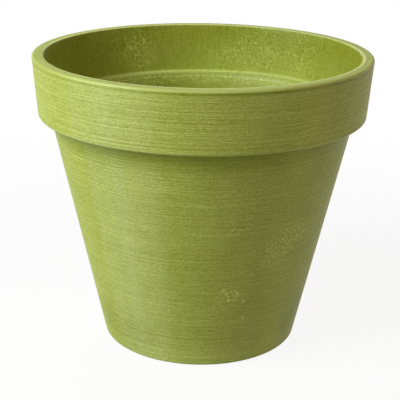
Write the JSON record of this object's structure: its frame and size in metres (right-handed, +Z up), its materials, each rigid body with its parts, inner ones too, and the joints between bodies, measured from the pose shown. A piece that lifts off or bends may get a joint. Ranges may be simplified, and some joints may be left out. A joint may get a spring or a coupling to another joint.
{
  "type": "flower pot",
  "caption": "Thick-walled tapered flower pot with a deep band round its mouth, a ledge inside, a foot ring, and pull-out rubber plugs that close the drain holes so that it holds water.",
  "frame": {"origin": "centre of the face that the pot stands on", "axes": "+Z up along the pot's axis, -Y towards the viewer of the picture, +X to the viewer's right"},
  "size_m": [0.2994, 0.2994, 0.262],
  "materials": {
    "pot": "spun, lime green",
    "plug": "moulded, black"
  },
  "bodies": {
    "pot": {"pot_shell": "pot"},
    "plug_right": {"drain_plug_right": "plug"},
    "plug_back": {"drain_plug_back": "plug"},
    "plug_left": {"drain_plug_left": "plug"},
    "plug_front": {"drain_plug_front": "plug"}
  },
  "joints": [
    {"name": "plug_right_pull", "type": "slide", "parent": "pot", "child": "plug_right", "axis": [0, 0, 1], "range_m": [0, 0.27]},
    {"name": "plug_back_pull", "type": "slide", "parent": "pot", "child": "plug_back", "axis": [0, 0, 1], "range_m": [0, 0.27]},
    {"name": "plug_left_pull", "type": "slide", "parent": "pot", "child": "plug_left", "axis": [0, 0, 1], "range_m": [0, 0.27]},
    {"name": "plug_front_pull", "type": "slide", "parent": "pot", "child": "plug_front", "axis": [0, 0, 1], "range_m": [0, 0.27]}
  ]
}
